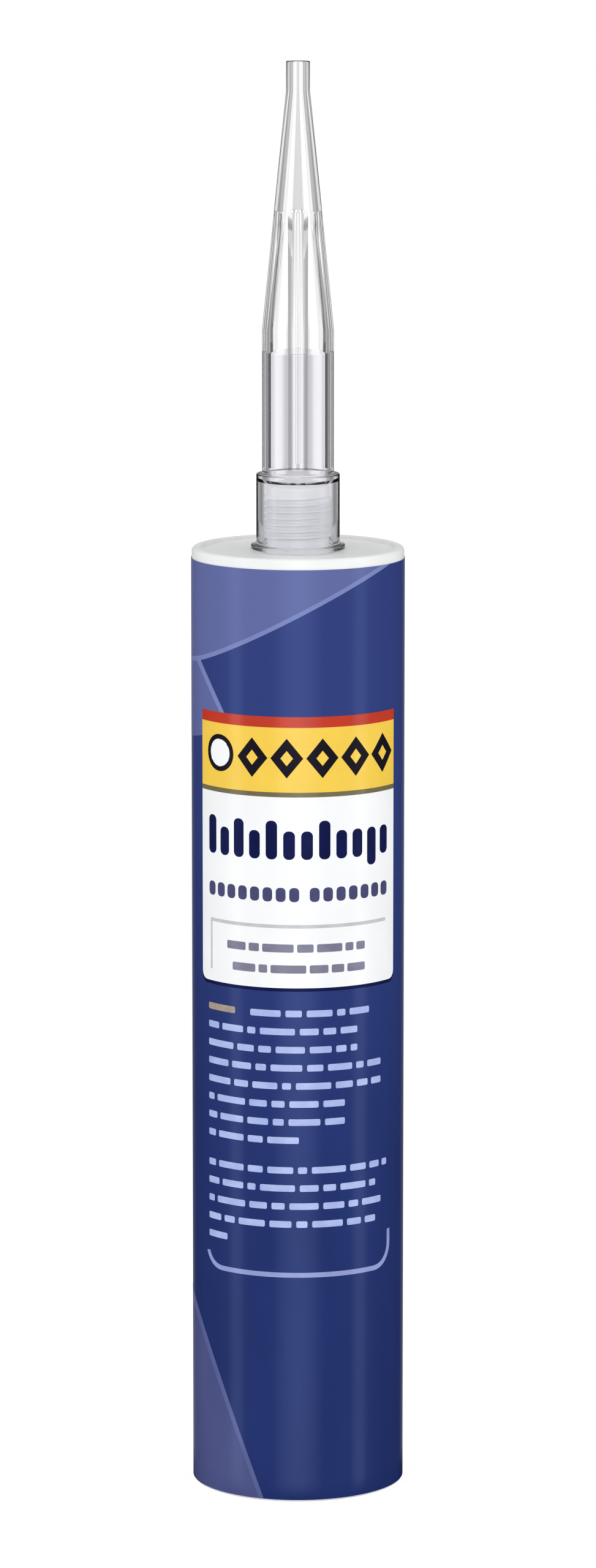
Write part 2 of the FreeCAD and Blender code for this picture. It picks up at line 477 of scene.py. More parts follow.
@dataclass(frozen=True)
class ClearPlastic:
    """A clear moulding: smooth outside, greyed by the length of plastic that light crosses.

    Below haze_top_mm the surface is slightly hazed and tinted, as where the mould's core is
    spark-eroded. Haze is what that adds to the roughness.
    """

    name: str
    colour: str
    hazed_colour: str
    absorbed_colour: str
    density_per_m: float
    roughness: float
    haze: float
    haze_top_mm: float
    ripple_mm: float
    ripple_depth_mm: float
    ior: float
    haze_fade_mm: float = 0.4
    ripple_detail: float = 1.0

    def make(self) -> bpy.types.Material:
        """Builds the node tree.

        Returns:
            The material.
        """
        material, nodes = new_material(self.name)
        place = nodes.place()
        height = nodes.height(place)
        fade = (self.haze_top_mm * MM, (self.haze_top_mm + self.haze_fade_mm) * MM)
        gloss = nodes.ranged(height, fade, (self.roughness + self.haze, self.roughness))
        clear = nodes.ranged(height, fade)
        ripple = nodes.noise(place, self.ripple_mm, self.ripple_detail)
        shader = nodes.add("BsdfPrincipled", inputs={
            "Base Color": nodes.mixed(clear, linear(self.hazed_colour), linear(self.colour)),
            "Roughness": gloss, "Normal": nodes.relief(ripple, self.ripple_depth_mm),
            "IOR": self.ior, "Transmission Weight": 1.0,
        })
        inside = nodes.add("VolumeAbsorption", inputs={
            "Color": linear(self.absorbed_colour), "Density": self.density_per_m,
        })
        nodes.add("OutputMaterial", inputs={
            "Surface": shader.outputs[0], "Volume": inside.outputs[0],
        })
        return material


# Injection-moulded polyethylene: milky white, with a soft gloss and a faint orange peel.
MOULDED_POLYETHYLENE = OpaquePlastic(
    "moulded_polyethylene_white", "#eeefef", "#e9eaea", 9.0, 0.7, 0.006, 0.32, 0.05,
    coat=0.15, coat_roughness=0.2,
)
# The same plastic off a spark-eroded mould: drier and a little warmer.
PISTON_POLYETHYLENE = OpaquePlastic(
    "moulded_polyethylene_satin", "#dcdcd6", "#d2d2cc", 6.0, 0.5, 0.02, 0.45, 0.06
)
# Gravure print on polypropylene film. The blues are even ink whose gloss is wet, slightly rippled
# and tinted by the ink, and they turn lighter up the tube.
BLUE_GLOSS = {"ior": 1.55, "gloss_tint": "#abc2ff"}
BLUE_INK = OpaquePlastic(
    "gravure_film_dark_blue", "#22326c", "#1f2e66", 14.0, roughness=0.16, streak=3.0,
    high_colour="#2f3d79", **BLUE_GLOSS,
)
LIGHT_BLUE_INK = OpaquePlastic(
    "gravure_film_light_blue", "#4f5687", "#4a5182", 12.0, streak=3.0, high_colour="#5f689d",
    **BLUE_GLOSS,
)
EDGE_INK = OpaquePlastic(
    "gravure_film_pale_edge", "#5d6496", "#575e90", 8.0, high_colour="#7782b6", **BLUE_GLOSS
)
# The label's own fields lie under clear lacquer, which gives them a sharper sheen.
LACQUER = {"coat": 0.25, "coat_roughness": 0.06}
RED_INK = OpaquePlastic("gravure_film_red", "#c33a22", "#b8331f", 8.0, **LACQUER)
YELLOW_INK = OpaquePlastic("gravure_film_yellow", "#f2cc4e", "#eec648", 8.0, **LACQUER)
WHITE_INK = OpaquePlastic("gravure_film_white", "#f3f5f6", "#eff1f2", 12.0, **LACQUER)
# Dark marks: dense ink that dries duller than the film round it, so the marks look flat.
DULL_INK = {"grain_mm": 1.6, "grain_depth_mm": 0.003, "roughness": 0.3}
NAVY_INK = OpaquePlastic(
    "gravure_film_navy", "#10174a", "#0d1341", 5.0, gloss_tint="#6f79a5", **DULL_INK
)
SLATE_INK = OpaquePlastic(
    "gravure_film_slate", "#4a4a72", "#434369", 5.0, gloss_tint="#8f97c0", **DULL_INK
)
BLACK_INK = OpaquePlastic(
    "gravure_film_black", "#1b161f", "#17121b", 5.0, gloss_tint="#7c7c8c", **DULL_INK
)
# Pale and mid-toned marks: thin ink that keeps the film's gloss.
THIN_INK = {"grain_mm": 1.6, "grain_depth_mm": 0.003, "roughness": 0.2, "coat": 0.2}
GREY_INK = OpaquePlastic("gravure_film_grey", "#7d7e93", "#737488", 3.0, **THIN_INK)
PALE_GREY_INK = OpaquePlastic("gravure_film_pale_grey", "#c2c6c9", "#babec2", 3.0, **THIN_INK)
PERIWINKLE_INK = OpaquePlastic("gravure_film_periwinkle", "#aebcea", "#9fade0", 4.0, **THIN_INK)
LILAC_INK = OpaquePlastic("gravure_film_lilac", "#929dd2", "#8995ca", 4.0, **THIN_INK)
TAN_INK = OpaquePlastic("gravure_film_tan", "#a89a8c", "#9c8e80", 3.0, **THIN_INK)
OLIVE_INK = OpaquePlastic("gravure_film_olive", "#766d4e", "#6d6448", 3.0, **THIN_INK)
# Acrylic sealant: a smooth wet paste that light enters a little way.
SEALANT_PASTE = OpaquePlastic(
    "acrylic_paste_wet", "#e6e5e0", "#dedcd5", 7.0, 3.0, 0.08, 0.22, 0.05, ior=1.48,
    subsurface=0.3,
)
# Clear moulded polypropylene: grey where the eye looks along its wall, bright where it looks
# through.
CLEAR_POLYPROPYLENE = ClearPlastic(
    "moulded_polypropylene_clear", "#ffffff", "#f4f4f7", "#8c8c90", density_per_m=45.0,
    roughness=0.025, haze=0.035, haze_top_mm=265.9, ripple_mm=5.0, ripple_depth_mm=0.003,
    ior=1.49,
)


class Slot(Enum):
    """The record's material slots."""

    MOULDING = "white_moulding"
    BLUE = "film_blue"
    LIGHT_BLUE = "film_light_blue"
    RED = "label_red"
    YELLOW = "label_yellow"
    WHITE = "label_white"
    SEALANT = "acrylic_sealant"
    PISTON = "piston_moulding"
    CLEAR = "clear_moulding"


class Body(Enum):
    """The bodies that pieces ride on."""

    BARREL = "barrel"
    PISTON = "piston"
    NOZZLE = "nozzle"


class Wardrobe:
    """Makes each finish once and puts it on pieces."""

    def __init__(self) -> None:
        """Starts with no material made."""
        self.made: dict[str, bpy.types.Material] = {}

    def dress(
        self,
        piece: Piece,
        finish: OpaquePlastic | ClearPlastic,
        body: Body,
        nodes: tuple[str, ...] = (),
    ) -> None:
        """Gives a piece its finish and its body, and hides the CAD nodes that it stands for.

        Args:
            piece: the finished piece.
            finish: the finish that it shows.
            body: the body that it rides on.
            nodes: the CAD nodes that it replaces.
        """
        if finish.name not in self.made:
            self.made[finish.name] = finish.make()
        piece.data.materials.clear()
        piece.data.materials.append(self.made[finish.name])
        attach(piece, body.value)
        if nodes:
            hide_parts(*nodes)
        log.info("%s: %d faces, rides on %s", piece.name, len(piece.data.polygons), body.value)


# The cartridge


@dataclass
class Barrel:
    """The white moulding: tube, flat shoulder with its raised rim, and threaded neck."""

    bore_r: float = 23.4
    outer_r: float = 24.6
    height: float = 221.2
    disc_z: float = 220.4
    shoulder_z: float = 218.4
    shoulder_fillet: float = 1.0
    rim_inner_r: float = 22.4
    rim_rounding: float = 0.9
    rim_inner_rounding: float = 0.27
    lead_in_r: float = 23.6
    lead_in_top: float = 14.0
    lead_in_run: float = 1.0
    mouth_rounding: float = 0.3
    neck_core_r: float = 7.2
    neck_bore_r: float = 5.6
    neck_top: float = 235.4
    neck_rounding: float = 0.6
    skin_z: float = 234.8
    steps: int = 256
    thread_crest_r: float = 8.0
    thread_pitch: float = 1.5
    thread_turns: int = 7
    thread_low: float = 222.9
    thread_root_half: float = 0.55
    thread_crest_half: float = 0.2
    thread_steps: int = 72
    thread_sink: float = 0.2
    thread_fade: float = 0.06
    thread_least_share: float = 0.05

    def build(self, wardrobe: Wardrobe) -> None:
        """Turns the moulding, winds its thread and dresses both.

        Args:
            wardrobe: the finishes.
        """
        moulding = Lathe("barrel_moulding", self._outline(), steps=self.steps).build()
        wardrobe.dress(
            moulding, MOULDED_POLYETHYLENE, Body.BARREL,
            ("cartridge_barrel", "cartridge_neck"),
        )
        wardrobe.dress(self._thread(), MOULDED_POLYETHYLENE, Body.BARREL)

    def _outline(self) -> list[Corner]:
        """The moulding's outline, from its axis inside the neck to its axis on top."""
        return [
            (0, self.skin_z, 0),
            (self.neck_bore_r, self.skin_z, 0),
            (self.neck_bore_r, self.shoulder_z, 0),
            (self.bore_r, self.shoulder_z, self.shoulder_fillet),
            (self.bore_r, self.lead_in_top + self.lead_in_run, 0),
            (self.lead_in_r, self.lead_in_top, 0),
            (self.lead_in_r, 0, self.mouth_rounding),
            (self.outer_r, 0, self.mouth_rounding),
            (self.outer_r, self.height, self.rim_rounding),
            (self.rim_inner_r, self.height, self.rim_inner_rounding),
            (self.rim_inner_r, self.disc_z, self.rim_inner_rounding),
            (self.neck_core_r, self.disc_z, self.neck_rounding),
            (self.neck_core_r, self.neck_top, self.neck_rounding),
            (0, self.neck_top, 0),
        ]

    def _thread(self) -> Piece:
        """Winds a ridge round the neck and lets its ends run out.

        Returns:
            The thread.
        """
        root_r = self.neck_core_r - self.thread_sink
        section = [
            (root_r, self.thread_low - self.thread_root_half),
            (self.thread_crest_r, self.thread_low - self.thread_crest_half),
            (self.thread_crest_r, self.thread_low + self.thread_crest_half),
            (root_r, self.thread_low + self.thread_root_half),
        ]
        thread = add(bpy.ops.mesh.primitive_plane_add, "neck_thread", size=MM, location=(0, 0, 0))
        with editing(thread):
            mesh = bmesh.from_edit_mesh(thread.data)
            mesh.faces.ensure_lookup_table()
            for vert, (r, z) in zip(list(mesh.faces[0].verts), section):
                vert.co = Vector((r * MM, 0, z * MM))
            bmesh.update_edit_mesh(thread.data)
            bpy.ops.mesh.delete(type="ONLY_FACE")
        apply_modifier(
            thread, "SCREW", axis="Z", angle=FULL_TURN, screw_offset=self.thread_pitch * MM,
            iterations=self.thread_turns, steps=self.thread_steps, render_steps=self.thread_steps,
        )
        self._run_out(thread)
        with editing(thread):
            bpy.ops.mesh.select_mode(type="EDGE")
            bpy.ops.mesh.select_all(action="DESELECT")
            bpy.ops.mesh.select_non_manifold()
            bpy.ops.mesh.fill()
        close_up(thread)
        return thread

    def _run_out(self, thread: Piece) -> None:
        """Sinks the thread's two ends into the neck.

        Args:
            thread: the wound ridge, in object mode.
        """
        low = self.thread_low * MM
        length = self.thread_turns * self.thread_pitch * MM
        core = (self.neck_core_r - self.thread_sink) * MM
        for vertex in thread.data.vertices:
            along = (vertex.co.z - low) / length
            risen = min(1.0, along / self.thread_fade, (1 - along) / self.thread_fade)
            share = max(self.thread_least_share, risen)
            r = math.hypot(vertex.co.x, vertex.co.y)
            shrink = (core + (r - core) * share) / r
            vertex.co.x *= shrink
            vertex.co.y *= shrink


@dataclass
class Film:
    """The printed film round the barrel: its blue ground and its light diagonal fields.

    Each field's edge is a straight cut seen from the front. A rise is the height that the edge
    gains for each mm to the right.
    """

    inner_r: float = 24.6
    ground_r: float = 24.74
    field_r: float = 24.76
    edge_r: float = 24.77
    low: float = 0.4
    high: float = 218.8
    upper_z: float = 207.8
    upper_rise: float = 0.52
    side_depth: float = 17.5
    side_x: float = -22.4
    side_rise: float = -2.03
    lower_x: float = -8.0
    lower_rise: float = -2.75
    edge_width: float = 1.0
    steps: int = 256

    def build(self, wardrobe: Wardrobe) -> None:
        """Makes the ground, the fields and the pale line along each, and dresses them.

        Args:
            wardrobe: the finishes.
        """
        ground = self._sheet("film_ground", self.inner_r, self.ground_r, [])
        wardrobe.dress(ground, BLUE_INK, Body.BARREL, ("printed_film",))
        fields = self._field_cuts()
        for name, cuts in fields.items():
            field = self._sheet(name + "_print", self.ground_r, self.field_r, cuts)
            wardrobe.dress(field, LIGHT_BLUE_INK, Body.BARREL, (name,))
        for which in ("upper", "lower", "side"):
            cuts = fields[f"film_{which}_field"]
            point, away = cuts[-1]
            far_side = (point - away * self.edge_width * MM, -away)
            edge = self._sheet(f"film_{which}_edge", self.field_r, self.edge_r, [*cuts, far_side])
            wardrobe.dress(edge, EDGE_INK, Body.BARREL)

    def _sheet(self, name: str, inner_r: float, outer_r: float, cuts: list[Plane]) -> Piece:
        """Makes one round sheet, cut to its outline and given its thickness.

        Args:
            name: the piece's name.
            inner_r: the radius that it lies on.
            outer_r: its outer radius.
            cuts: the planes that cut it.

        Returns:
            The sheet.
        """
        outline = [(inner_r, self.low, 0), (inner_r, self.high, 0)]
        sheet = Lathe(name, outline, steps=self.steps).build()
        with editing(sheet):
            for point, away in cuts:
                slice_all(point, away, clear=True)
        outward = sum(face.normal.xy.dot(face.center.xy) for face in sheet.data.polygons)
        if outward < 0:
            with editing(sheet):
                bpy.ops.mesh.flip_normals()
        apply_modifier(sheet, "SOLIDIFY", thickness=(outer_r - inner_r) * MM, offset=1.0)
        smooth(sheet)
        return sheet

    def _field_cuts(self) -> dict[str, list[Plane]]:
        """The cuts that leave each light field, by the CAD node that it stands for.

        Returns:
            The cuts of each field, the last of them along its pale line.
        """
        under_z = self.upper_z - self.side_depth
        side_z = self.upper_z + self.upper_rise * self.side_x
        return {
            "film_upper_field": [self._line(0, self.upper_z, self.upper_rise, over=False)],
            "film_side_field": [
                self._line(0, self.upper_z, self.upper_rise, over=True),
                self._line(0, under_z, self.upper_rise, over=False),
                self._line(self.side_x, side_z, self.side_rise, over=True),
            ],
            "film_lower_field": [self._line(self.lower_x, self.low, self.lower_rise, over=True)],
        }

    @staticmethod
    def _line(x: float, z: float, rise: float, over: bool) -> Plane:
        """A cutting plane through a point, seen edge-on from the front.

        Args:
            x: the point's place to the right, in mm.
            z: the point's height, in mm.
            rise: the height gained for each mm to the right.
            over: True takes off what lies over the line, False what lies under it.

        Returns:
            A point of the plane and its normal towards the side that is taken off.
        """
        up = Vector((-rise, 0, 1)).normalized()
        return Vector((x, 0, z)) * MM, up if over else -up


# The print on the film


class Form(Enum):
    """What a printed mark looks like."""

    BAR = "bar"
    DIAMOND = "diamond"
    RING = "ring"
    CUP = "cup"


@dataclass
class Mark:
    """One flat printed mark: its middle along the film and up the tube, and its size, in mm.

    The place along the film is measured round the tube from the label's middle, to the right.
    A mark with a line is hollow. A cup has only its lower corners rounded, and a hollow one is
    cut open just under its top line, along an edge that rises by lean for each mm to the right.
    """

    along: float
    z: float
    width: float
    height: float
    rounding: float = 0.3
    form: Form = Form.BAR
    line: float = 0.0
    lean: float = 0.0
    cup_depth: float = 1.05
    wide_rounding: float = 1.0
    segments: int = 3
    wide_segments: int = 8

    def build(self) -> Piece:
        """Draws the mark as a flat face in the XZ plane.

        Returns:
            The mark.
        """
        mark = add(
            bpy.ops.mesh.primitive_plane_add, "mark", size=1,
            location=(self.along * MM, 0, self.z * MM), rotation=(math.pi / 2, 0, 0),
        )
        middle = tuple(mark.location)
        with editing(mark):
            if self.form is Form.DIAMOND:
                bpy.ops.transform.rotate(
                    value=math.pi / 4, orient_axis="Y", orient_type="GLOBAL", center_override=middle
                )
                self._resize(math.sqrt(0.5), math.sqrt(0.5), middle)
            self._resize(self.width * MM, self.height * MM, middle)
            self._round(mark)
            if self.line:
                self._hollow()
        apply_place(mark)
        return mark

    @staticmethod
    def _resize(wide: float, tall: float, middle: Corner) -> None:
        """Stretches what is selected from the mark's middle."""
        bpy.ops.transform.resize(value=(wide, 1, tall), center_override=middle)

    def _round(self, mark: Piece) -> None:
        """Rounds the corners, or only the lower two of a cup.

        Args:
            mark: the mark in edit mode.
        """
        if self.rounding == 0:
            return
        lower_only = self.form is Form.CUP
        pick(mark, "VERT", lambda v: not lower_only or (mark.matrix_world @ v.co).z < self.z * MM)
        bpy.ops.mesh.bevel(
            affect="VERTICES", offset_type="OFFSET", offset=self.rounding * MM,
            segments=self.wide_segments if self.rounding > self.wide_rounding else self.segments,
        )

    def _hollow(self) -> None:
        """Leaves only a line round the mark's outline, open at the top in a cup."""
        bpy.ops.mesh.select_mode(type="FACE")
        bpy.ops.mesh.select_all(action="SELECT")
        bpy.ops.mesh.inset(thickness=self.line * MM)
        bpy.ops.mesh.delete(type="FACE")
        if self.form is Form.CUP:
            right = self.along + self.width / 2
            top = Vector((right, 0, self.z + self.height / 2 - self.cup_depth * self.line)) * MM
            slice_all(top, Vector((-self.lean, 0, 1)), clear=True)


class Level(Enum):
    """Where a layer of print lies: its inner and its outer radius in mm."""

    FIELD = (24.76, 24.775)
    FOOT_LINE = (24.75, 24.765)
    ON_LABEL = (24.775, 24.79)
    ON_FILM = (24.76, 24.79)


@dataclass
class PrintLayer:
    """Marks of one ink, wrapped round the tube as one thin piece.

    The flat marks are first cut into upright strips as wide as the step, so that they bend
    smoothly.
    """

    name: str
    ink: OpaquePlastic
    slot: Slot
    marks: list[Mark]
    level: Level = Level.ON_LABEL
    nodes: tuple[str, ...] = ()
    step: float = 0.6

    def build(self, wardrobe: Wardrobe) -> None:
        """Draws the marks flat, thickens them, bends them round the tube and dresses them.

        Args:
            wardrobe: the finishes.
        """
        choose(*[mark.build() for mark in self.marks])
        bpy.ops.object.join()
        layer = bpy.context.object
        layer.name = self.name
        apply_place(layer)
        low = min(v.co.x for v in layer.data.vertices)
        high = max(v.co.x for v in layer.data.vertices)
        with editing(layer):
            for i in range(1, math.ceil((high - low) / (self.step * MM))):
                slice_all(Vector((low + i * self.step * MM, 0, 0)), Vector((1, 0, 0)))
        inner_r, outer_r = self.level.value
        apply_modifier(layer, "SOLIDIFY", thickness=(outer_r - inner_r) * MM, offset=1.0)
        apply_modifier(
            layer, "SIMPLE_DEFORM", deform_method="BEND", deform_axis="Z",
            angle=(high - low) / (inner_r * MM),
        )
        choose(layer)
        bpy.ops.transform.translate(value=(0, -inner_r * MM, 0))
        apply_place(layer)
        smooth(layer)
        wardrobe.dress(layer, self.ink, Body.BARREL, self.nodes)


@dataclass
class WordRow:
    """A row of plain dashes of different lengths, which stands for a line of print.

    The lengths come from a fixed list, taken in turn from an offset, until the row is full.
    """

    z: float
    left: float
    right: float
    offset: int = 0
    height: float = 1.55
    gap: float = 1.1
    least: float = 1.2
    rounding: float = 0.35
    lengths: tuple[float, ...] = (5.2, 2.6, 7.4, 3.8, 6.1, 2.1, 8.3, 4.4, 3.1, 6.8)

    def marks(self) -> list[Mark]:
        """The row's dashes.

        Returns:
            One mark for each dash.
        """
        row: list[Mark] = []
        start = self.left
        while self.right - start > self.least:
            turn = (self.offset + len(row)) % len(self.lengths)
            length = min(self.lengths[turn], self.right - start)
            if self.right - start - length < self.gap + self.least:
                length = self.right - start
            row.append(Mark(start + length / 2, self.z, length, self.height, self.rounding))
            start += length + self.gap
        return row


class Pill(Enum):
    """The upright pills of the label's heading: how far each is raised, and its height."""

    SHORT = (0.0, 6.6)
    TALL = (1.2, 9.0)
    DEEP = (-1.1, 8.8)


@dataclass
class Label:
    """The label's coloured fields and every mark that is printed on the film.

    Each row of a block of print has a left end, a right end and a WordRow offset, and the rows
    run from the top down. A run of beads has a left end, a count and a pitch.
    """

    film_r: float = 24.76
    half_angle: float = 62.8
    corner: float = 2.0
    panel_low: float = 121.9
    panel_high: float = 166.9
    band_high: float = 182.5
    stripe_high: float = 185.0
    foot_line: tuple[float, float] = (121.1, 125.9)
    band_line: tuple[float, float] = (166.4, 167.5)
    pill_left: float = -22.7
    pill_pitch: float = 4.13
    pill_z: float = 155.2
    pills: tuple[Pill, ...] = (
        Pill.TALL, Pill.SHORT, Pill.TALL, Pill.SHORT, Pill.TALL, Pill.SHORT,
        Pill.SHORT, Pill.TALL, Pill.SHORT, Pill.SHORT, Pill.DEEP, Pill.SHORT,
    )
    bead_width: float = 2.3
    bead_runs: tuple[tuple[float, int, float], ...] = ((-24.0, 8, 3.14), (2.7, 7, 3.17))
    diamond_left: float = -10.9
    diamond_pitch: float = 8.3
    diamond_count: int = 5
    disc_place: tuple[float, float] = (-20.2, 175.6)
    row_pitch: float = 4.26
    dash_height: float = 1.55
    upper_block_z: float = 115.9
    upper_block: tuple[tuple[float, float, int], ...] = (
        (-11.4, 17.9, 2), (-24.3, 14.5, 3), (-24.3, 14.5, 6), (-24.3, 21.8, 9),
        (-24.3, 21.8, 12), (-24.3, 11.2, 15), (-24.3, 11.2, 18), (-24.3, 0.2, 21),
    )
    lower_block_z: float = 79.0
    lower_block: tuple[tuple[float, float, int], ...] = (
        (-24.3, 24.1, 1), (-24.3, 20.0, 3), (-24.3, 21.9, 5), (-24.3, 20.0, 7), (-24.3, -17.9, 9),
    )

    def build(self, wardrobe: Wardrobe) -> None:
        """Makes each layer of print from the film outwards."""
        for layer in self._fields() + self._panel_marks() + self._band_marks() + self._film_marks():
            layer.build(wardrobe)

    def _field(self, low: float, high: float, rounding: float = 0.0, form: Form = Form.BAR) -> Mark:
        """A mark as wide as the label, from one height to another."""
        width = 2 * math.radians(self.half_angle) * self.film_r
        return Mark(0, (low + high) / 2, width, high - low, rounding, form)

    def _fields(self) -> list[PrintLayer]:
        """The panel, the band and the stripe, with a navy line under the panel.

        Returns:
            The layers.
        """
        panel = self._field(self.panel_low, self.panel_high, self.corner, Form.CUP)
        band = self._field(self.panel_high, self.band_high)
        stripe = self._field(self.band_high, self.stripe_high)
        foot = self._field(*self.foot_line, self.corner, Form.CUP)
        flat = Level.FIELD
        return [
            PrintLayer("label_panel_print", WHITE_INK, Slot.WHITE, [panel], flat, ("label_panel",)),
            PrintLayer("label_band_print", YELLOW_INK, Slot.YELLOW, [band], flat, ("label_band",)),
            PrintLayer("label_stripe_print", RED_INK, Slot.RED, [stripe], flat, ("label_stripe",)),
            PrintLayer("label_foot_line", NAVY_INK, Slot.BLUE, [foot], Level.FOOT_LINE),
        ]

    def _panel_marks(self) -> list[PrintLayer]:
        """What is printed on the white panel: upright pills, beads, a cornered rule and dashes.

        Returns:
            The layers.
        """
        pills = []
        for i, pill in enumerate(self.pills):
            raised, height = pill.value
            along = self.pill_left + i * self.pill_pitch
            pills.append(Mark(along, self.pill_z + raised, width=2.7, height=height, rounding=1.2))
        beads = [
            Mark(
                first + self.bead_width / 2 + i * pitch, z=143.7, width=self.bead_width,
                height=3.3, rounding=0.9,
            )
            for first, count, pitch in self.bead_runs
            for i in range(count)
        ]
        rule = [
            Mark(along=0, z=136.3, width=47, height=0.8, rounding=0.2),
            Mark(along=-23.2, z=130.6, width=0.6, height=11.8, rounding=0.2),
        ]
        rows = WordRow(z=131.2, left=-17.8, right=16.6, height=1.9, gap=0.8).marks()
        rows += WordRow(z=126.3, left=-16.2, right=16.6, offset=4, height=1.9, gap=0.8).marks()
        return [
            PrintLayer("panel_heading_pattern", NAVY_INK, Slot.BLUE, pills),
            PrintLayer("panel_beads", SLATE_INK, Slot.BLUE, beads),
            PrintLayer("panel_rule", PALE_GREY_INK, Slot.WHITE, rule),
            PrintLayer("panel_dashes", GREY_INK, Slot.WHITE, rows),
        ]

    def _band_marks(self) -> list[PrintLayer]:
        """What is printed on the yellow band: diamonds, a disc in a ring, and an olive line.

        Returns:
            The layers.
        """
        diamonds = [
            Mark(
                self.diamond_left + i * self.diamond_pitch, z=175.4, width=7.6, height=9.2,
                rounding=0, form=Form.DIAMOND, line=1.8,
            )
            for i in range(self.diamond_count)
        ]
        ring = Mark(
            *self.disc_place, width=8.6, height=8.6, rounding=4.2, form=Form.RING, line=1.2
        )
        disc = Mark(*self.disc_place, width=6.4, height=6.4, rounding=3.15)
        return [
            PrintLayer("band_diamonds", BLACK_INK, Slot.BLUE, [*diamonds, ring]),
            PrintLayer("band_disc", WHITE_INK, Slot.WHITE, [disc]),
            PrintLayer("band_foot_line", OLIVE_INK, Slot.YELLOW, [self._field(*self.band_line)]),
        ]

    def _film_marks(self) -> list[PrintLayer]:
        """What is printed on the blue film under the label: two blocks of dashes and a frame.

        Returns:
            The layers.
        """
        words = self._block(self.upper_block_z, self.upper_block)
        words += self._block(self.lower_block_z, self.lower_block)
        tan = Mark(-19.9, self.upper_block_z, width=8.8, height=self.dash_height, rounding=0.35)
        cup = Mark(
            along=0, z=58.75, width=51.2, height=10.3, rounding=6.0, form=Form.CUP, line=1.15,
            lean=0.1,
        )
        over = Level.ON_FILM
        return [
            PrintLayer("film_dashes", PERIWINKLE_INK, Slot.LIGHT_BLUE, words, over),
            PrintLayer("film_tan_dash", TAN_INK, Slot.YELLOW, [tan], over),
            PrintLayer("film_frame_line", LILAC_INK, Slot.LIGHT_BLUE, [cup], over),
        ]

    def _block(self, top: float, rows: tuple[tuple[float, float, int], ...]) -> list[Mark]:
        """Fills a block of print with dashes.

        Args:
            top: the height of its top row.
            rows: each row's ends and offset.

        Returns:
            The dashes.
        """
        return [
            dash
            for i, (left, right, offset) in enumerate(rows)
            for dash in WordRow(
                top - i * self.row_pitch, left, right, offset, self.dash_height
            ).marks()
        ]


# What the tube holds


@dataclass
class Sealant:
    """The paste between the piston and the shoulder, and the plug of it in the neck."""

    bore_r: float = 23.4
    low: float = 39.1
    high: float = 218.4
    shoulder_fillet: float = 1.0
    plug_r: float = 5.6
    plug_high: float = 234.8
    plug_steps: int = 96
    least_share: float = 0.002

    def build(self, wardrobe: Wardrobe) -> None:
        """Turns both bodies of paste, and gives the long one a mesh of its own.

        Args:
            wardrobe: the finishes.
        """
        outline = self._cylinder(self.bore_r, self.low, self.high, self.shoulder_fillet)
        bulk = Lathe("sealant_bulk", outline).build()
        wardrobe.dress(bulk, SEALANT_PASTE, Body.BARREL, ("sealant",))
        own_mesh(bulk)
        outline = self._cylinder(self.plug_r, self.high, self.plug_high)
        plug = Lathe("sealant_plug", outline, steps=self.plug_steps).build()
        wardrobe.dress(plug, SEALANT_PASTE, Body.BARREL)

    @staticmethod
    def _cylinder(r: float, low: float, high: float, rounding: float = 0.0) -> list[Corner]:
        """The outline of a cylinder whose upper edge can be rounded."""
        return [(0, low, 0), (r, low, 0), (r, high, rounding), (0, high, 0)]


